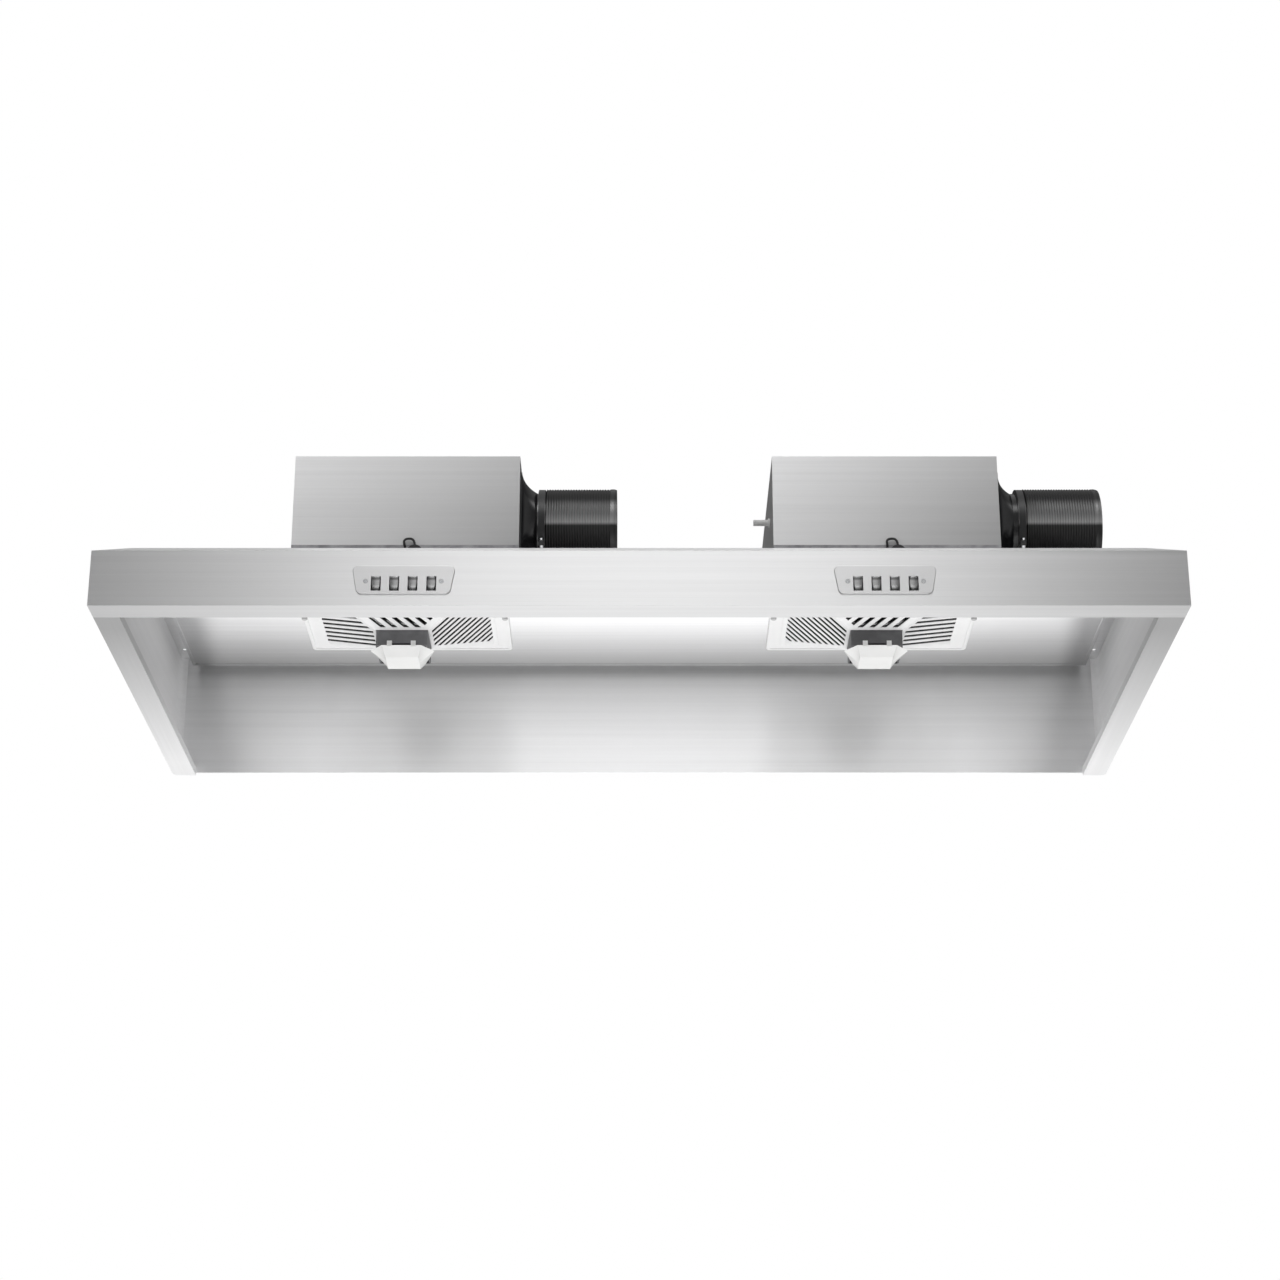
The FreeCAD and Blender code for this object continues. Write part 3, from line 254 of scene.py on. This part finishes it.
sides = ("left", "right")
foam = grained("closed_cell_foam", (0.3, 0.3, 0.31), 0.9, grain=900.0, contrast=0.25, depth=0.6)
zinc = grained("bright_zinc", (0.78, 0.79, 0.8), 0.25, 1.0, grain=700.0, depth=0.05)
down_right = Vector((0.72, 0, -1)).normalized()
for side in sides:
    low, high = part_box("blower_box_" + side)
    start = down_right.dot(Vector((low[0], 0, high[2])))
    end = down_right.dot(Vector((high[0], 0, low[2])))
    # Painted shade: darker towards the lower right corner, and sides and top at half tone.
    side_faces_shade = (rearward, low[1] + 0.001, low[1] + 0.004, 0.5)
    box_sheet = brushed_stainless(
        "stainless_box_" + side, "X", inward, tone=0.97, rough=0.42, sheen=0.15,
        fades=[(tuple(down_right), start, end, 0.4), side_faces_shade],
    )
    dress(box_sheet, "blower_box_" + side)
    dress(foam, "box_gasket_" + side)
dress(zinc, "box_screws", "clamp_screws", "bezel_screws")

# ---- Fans -----------------------------------------------------------------------------------
# Inside each box a moulded scroll holds a forward-curved wheel on the shaft of a galvanised
# motor, with its starting capacitor beside it.
charcoal = grained("charcoal_moulding", (0.05, 0.052, 0.055), 0.5)
wheel_grey = grained("wheel_moulding", (0.09, 0.092, 0.095), 0.45)
galvanised = grained(
    "galvanised", (0.56, 0.57, 0.59), 0.4, 1.0, grain=260.0, contrast=0.2, depth=0.05
)
ground = grained("ground_steel", (0.6, 0.6, 0.61), 0.22, 1.0, grain=1200.0, depth=0.1)
can_white = grained("capacitor_white", (0.82, 0.82, 0.81), 0.35)
for side in sides:
    dress(charcoal, "scroll_" + side)
    dress(wheel_grey, "impeller_" + side)
    dress(galvanised, "motor_" + side, "motor_bracket_" + side)
    dress(ground, "motor_shaft_" + side)
    dress(can_white, "capacitor_" + side)

# ---- Outlets --------------------------------------------------------------------------------
# A glossy black adapter tapers from the box to a collar with a flap in it. The hose is a
# ribbed black film tube, drawn over the collar and held by a moulded clamp. The film is
# metallised; a pale band of grey low on it is a painted reflection of the hood.
gloss_black = grained("black_adapter", (0.012, 0.012, 0.013), 0.22, grain=300.0, depth=0.04)
satin_black = grained("black_clamp", (0.014, 0.014, 0.015), 0.42)
film_black = (0.02, 0.02, 0.02)
film_reflection_bands = [(0.36, 0.04), (0.4, 0.42), (0.5, 0.24), (0.72, 0.035), (1.0, 0.016)]


def banded(material, low, high, bands):
    """Colours a finish in level bands of grey, from a piece's lowest point to its highest."""
    split = shader(material, "ShaderNodeSeparateXYZ")
    feed(material, places(material), split, "Vector")
    rise = ranged(material, split.outputs["Z"], low, high)
    surface = material.node_tree.nodes["Principled BSDF"]
    feed(material, tones(material, rise, bands), surface, "Base Color")
    return material


for side in sides:
    dress(gloss_black, "duct_adapter_" + side)
    dress(satin_black, "damper_flap_" + side, "hose_clamp_" + side)
    low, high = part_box("duct_hose_" + side)
    film = grained("hose_film_" + side, film_black, 0.34, 0.7, grain=600.0, depth=0.25)
    dress(banded(film, low[2], high[2], film_reflection_bands), "duct_hose_" + side)

# ---- Leads ----------------------------------------------------------------------------------
# A thin rubber-covered lead leaves each box through its foam seat, arches over with a slight
# bulge and goes down through a moulded grommet to the switches. The mains gland is on the
# right-hand box.
rubber = grained("black_rubber", (0.016, 0.016, 0.017), 0.55, grain=800.0, depth=0.2)
gland_white = grained("gland_white", (0.74, 0.74, 0.73), 0.4)
lead_radius = 0.0014
seat_rise = 0.0071
bulge = 0.0016
for side in sides:
    low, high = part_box("lead_loop_" + side)
    near, far = low[0] + lead_radius, high[0] - lead_radius
    front, back = low[1] + lead_radius, high[1]
    bottom, seat, top = low[2], low[2] + seat_rise, high[2] - lead_radius
    route = [(near, back, seat), (near, front, seat), (near - bulge, front, top),
             (far + bulge, front, top), (far, front, bottom)]
    lead = rod("lead_" + side, "NURBS", route, lead_radius, 6, rubber)
    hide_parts("lead_loop_" + side)
    dress(rubber, "lead_grommet_" + side)
dress(gland_white, "cable_gland")

# ---- Controls -------------------------------------------------------------------------------
# Each bezel is a plate of the fascia's own steel with two screws. Its four plated rockers are
# waisted, hollowed for a fingertip and narrower below; the fourth is rounder than the rest.
# The plating is painted in light and dark bands up each key, painted reflection and shade
# that is darkest at the two ends of each hollow.
bezel_sheet = brushed_stainless("bezel_steel", "X", inward, tone=0.58, contrast=0.03)
bank_grey = grained("switch_bank_grey", (0.3, 0.31, 0.32), 0.5)
plated_grey = (0.4, 0.4, 0.41)
key_reflection_bands = [(0.04, 0.1), (0.2, 0.14), (0.36, 0.5), (0.7, 0.55), (0.82, 0.22), (0.97, 0.3)]
cap_levels = 14
cap_depth = 0.0032
cap_section = [(-1, cap_depth), (-1, 0.0007), (-0.86, 0.0001), (0, 0.0003), (0.86, 0.0001),
               (1, 0.0007), (1, cap_depth)]
cap_foot = 0.82
hollow_depth = 0.0012
lip_depth = 0.0006
stem_width = 0.006
stem_height = 0.009


def rocker(name, low, high, corner):
    """One key: a cap of level sections, set back in the middle and narrower below, on a stem.
    corner is the share of its width that it loses at its two ends."""
    mesh = bmesh.new()
    middle = (low[0] + high[0]) / 2
    rings = []
    for level in range(cap_levels + 1):
        share = level / cap_levels
        end = abs(2 * share - 1)
        half = (high[0] - low[0]) / 2 * (cap_foot + (1 - cap_foot) * share)
        half *= 1 - corner * end**4
        front = low[1] + hollow_depth * (1 - end**2) + lip_depth * end**8
        z = low[2] + (high[2] - low[2]) * share
        rings.append([mesh.verts.new((middle + half * x, front + y, z)) for x, y in cap_section])
    for under, over in zip(rings, rings[1:]):
        for i in range(len(under)):
            j = (i + 1) % len(under)
            mesh.faces.new((under[i], under[j], over[j], over[i]))
    mesh.faces.new(rings[0][::-1])
    mesh.faces.new(rings[-1])
    stem = (stem_width, high[1] - low[1] - cap_depth, stem_height)
    place = (middle, high[1] - stem[1] / 2, (low[2] + high[2]) / 2)
    size = Matrix.Diagonal((*stem, 1))
    bmesh.ops.create_cube(mesh, size=1, matrix=Matrix.Translation(place) @ size)
    bmesh.ops.recalc_face_normals(mesh, faces=mesh.faces)
    for face in mesh.faces:
        face.smooth = True
    data = bpy.data.meshes.new(name)
    mesh.to_mesh(data)
    mesh.free()
    key = bpy.data.objects.new(name, data)
    bpy.context.scene.collection.objects.link(key)
    rounding = key.modifiers.new("rounding", "BEVEL")
    rounding.width = 0.0003
    rounding.segments = 2
    rounding.limit_method = "ANGLE"
    return key


for side in sides:
    dress(bezel_sheet, "switch_bezel_" + side)
    dress(bank_grey, "switch_bank_" + side)
    for number in range(1, 5):
        node = "key_%s_%d" % (side, number)
        low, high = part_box(node)
        key = rocker("rocker_%s_%d" % (side, number), low, high, 0.45 if number == 4 else 0.06)
        plating = "plated_%s_%d" % (side, number)
        plated = grained(plating, plated_grey, 0.2, 0.9, grain=500.0, depth=0.03)
        key.data.materials.append(banded(plated, low[2], high[2], key_reflection_bands))
        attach(key, node + "_body")
        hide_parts(node)

# ---- Filters --------------------------------------------------------------------------------
# Each filter is a white moulded pyramid of diagonal slots in a square frame. The slots are
# painted near-black as shade. A charcoal collar under its hub carries a milky oil cup, and two
# grey knobs hold the frame to the ceiling. The lamps in front of them have ringed, frosted lenses.
moulded_white = (0.95, 0.95, 0.95)
slot_shade_black = (0.02, 0.02, 0.02, 1)
pyramid_hub = 0.033
pyramid_edge = 0.1075
pyramid_drop = 0.0365


def lattice_white(name, low, high):
    """White moulding, dark wherever it lies deeper than the pyramid's outer face."""
    material = grained(name, moulded_white, 0.38, grain=300.0, contrast=0.02, depth=0.05)
    split = shader(material, "ShaderNodeSeparateXYZ")
    feed(material, places(material), split, "Vector")
    away = []
    for axis, least, most in (("X", low[0], high[0]), ("Y", low[1], high[1])):
        offset = reckon(material, "SUBTRACT", split.outputs[axis], (least + most) / 2)
        away.append(reckon(material, "ABSOLUTE", offset))
    reach = reckon(material, "MAXIMUM", *away)
    face = ranged(
        material, reach, pyramid_hub, pyramid_edge, low[2], low[2] + pyramid_drop, clamp=False
    )
    deep = reckon(material, "SUBTRACT", split.outputs["Z"], face)
    surface = material.node_tree.nodes["Principled BSDF"]
    # Painted shade: near-black wherever the moulding lies deeper than the pyramid's face.
    shaded_slots = shader(material, "ShaderNodeMixRGB", Color2=slot_shade_black)
    feed(material, ranged(material, deep, 0.0003, 0.001), shaded_slots, "Fac")
    feed(material, surface.inputs["Base Color"].links[0].from_socket, shaded_slots, "Color1")
    feed(material, shaded_slots.outputs["Color"], surface, "Base Color")
    return material


collar_grey = grained("collar_charcoal", (0.13, 0.13, 0.135), 0.5, grain=350.0, contrast=0.3)
knob_grey = grained("knob_grey", (0.5, 0.5, 0.5), 0.45)
milky = grained("milky_cup", (0.9, 0.9, 0.89), 0.25, grain=250.0, contrast=0.03, depth=0.04)
lens = grained("frosted_lens", (0.9, 0.9, 0.88), 0.45, grain=900.0, contrast=0.04, depth=0.5)
for side in sides:
    dress(lattice_white("lattice_" + side, *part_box("grille_" + side)), "grille_" + side)
    dress(collar_grey, "grease_collar_" + side)
    dress(knob_grey, "grille_knobs_" + side)
    dress(milky, "oil_cup_" + side)
    dress(lens, "lamp_" + side)

# ---- Studio ---------------------------------------------------------------------------------
# The hood hangs in a pale room over a plain floor. Light comes from bright bands of the room
# in front of the hood, below it and overhead; darker stretches between them shade the steel.
bpy.ops.mesh.primitive_plane_add(size=40, location=(0, 0, -1.6))
floor = bpy.context.object
floor.name = "studio_floor"
pale, _ = blank_finish("pale_floor", 0.9, Base_Color=(0.85, 0.85, 0.85, 1))
floor.data.materials.append(pale)
floor.visible_glossy = False
floor.visible_diffuse = False
floor.visible_shadow = False

room = bpy.data.worlds.new("studio")
bpy.context.scene.world = room
room.use_nodes = True
room.node_tree.nodes.clear()


def light_profile(value, stops):
    """Brightness along one direction, eased between (place, brightness) stops."""
    return tones(room, value, [(at, (bright, bright, bright)) for at, bright in stops], "EASE")


split = shader(room, "ShaderNodeSeparateXYZ")
feed(room, shader(room, "ShaderNodeTexCoord").outputs["Generated"], split, "Vector")
across, ahead, up = (split.outputs[axis] for axis in "XYZ")
aside = reckon(room, "ABSOLUTE", across)
height = reckon(room, "MULTIPLY_ADD", up, 0.5, 0.5)
front_width = light_profile(aside, [(0.08, 1.25), (0.2, 0.06), (0.35, 0.3), (0.8, 0.9)])
back_width = light_profile(aside, [(0.08, 1.1), (0.22, 0.6), (0.4, 0.7), (0.8, 0.9)])
front_height = light_profile(
    height, [(0.0, 2.4), (0.2, 1.8), (0.3, 0.4), (0.4, 0.4), (0.44, 1.6), (0.53, 0.64),
             (0.78, 0.64), (0.89, 7), (0.97, 1)]
)
back_height = light_profile(
    height, [(0.0, 2.4), (0.2, 1.8), (0.3, 0.6), (0.45, 0.6), (0.53, 0.12), (0.75, 0.15),
             (1, 0.8)]
)
turned = reckon(room, "MULTIPLY_ADD", ahead, 3, 0.95, clamped=True)
behind = reckon(room, "MULTIPLY", reckon(room, "MULTIPLY", back_width, back_height), turned)
facing = reckon(room, "MULTIPLY", reckon(room, "MULTIPLY", front_width, front_height),
                reckon(room, "SUBTRACT", 1, turned))
light = reckon(room, "MULTIPLY", reckon(room, "ADD", behind, facing), 1.05)
lit = shader(room, "ShaderNodeBackground")
feed(room, light, lit, "Strength")
seen = shader(room, "ShaderNodeBackground", Color=(1, 1, 1, 1), Strength=1)
choice = shader(room, "ShaderNodeMixShader")
ray = shader(room, "ShaderNodeLightPath")
for output, socket in ((ray.outputs["Is Camera Ray"], 0), (lit.outputs[0], 1), (seen.outputs[0], 2)):
    feed(room, output, choice, socket)
feed(room, choice.outputs[0], shader(room, "ShaderNodeOutputWorld"), "Surface")

# The viewer stands in front of the hood and well below it, looking up into it.
eye = bpy.data.cameras.new("viewpoint")
eye.lens = 75.4
eye.sensor_width = 36.0
viewpoint = bpy.data.objects.new("viewpoint", eye)
bpy.context.scene.collection.objects.link(viewpoint)
viewpoint.location = (0.0009, -2.98675, -1.0987)
viewpoint.rotation_euler = (math.radians(90 + 21.42), 0, 0)
bpy.context.scene.camera = viewpoint
bpy.context.scene.view_settings.view_transform = "Standard"
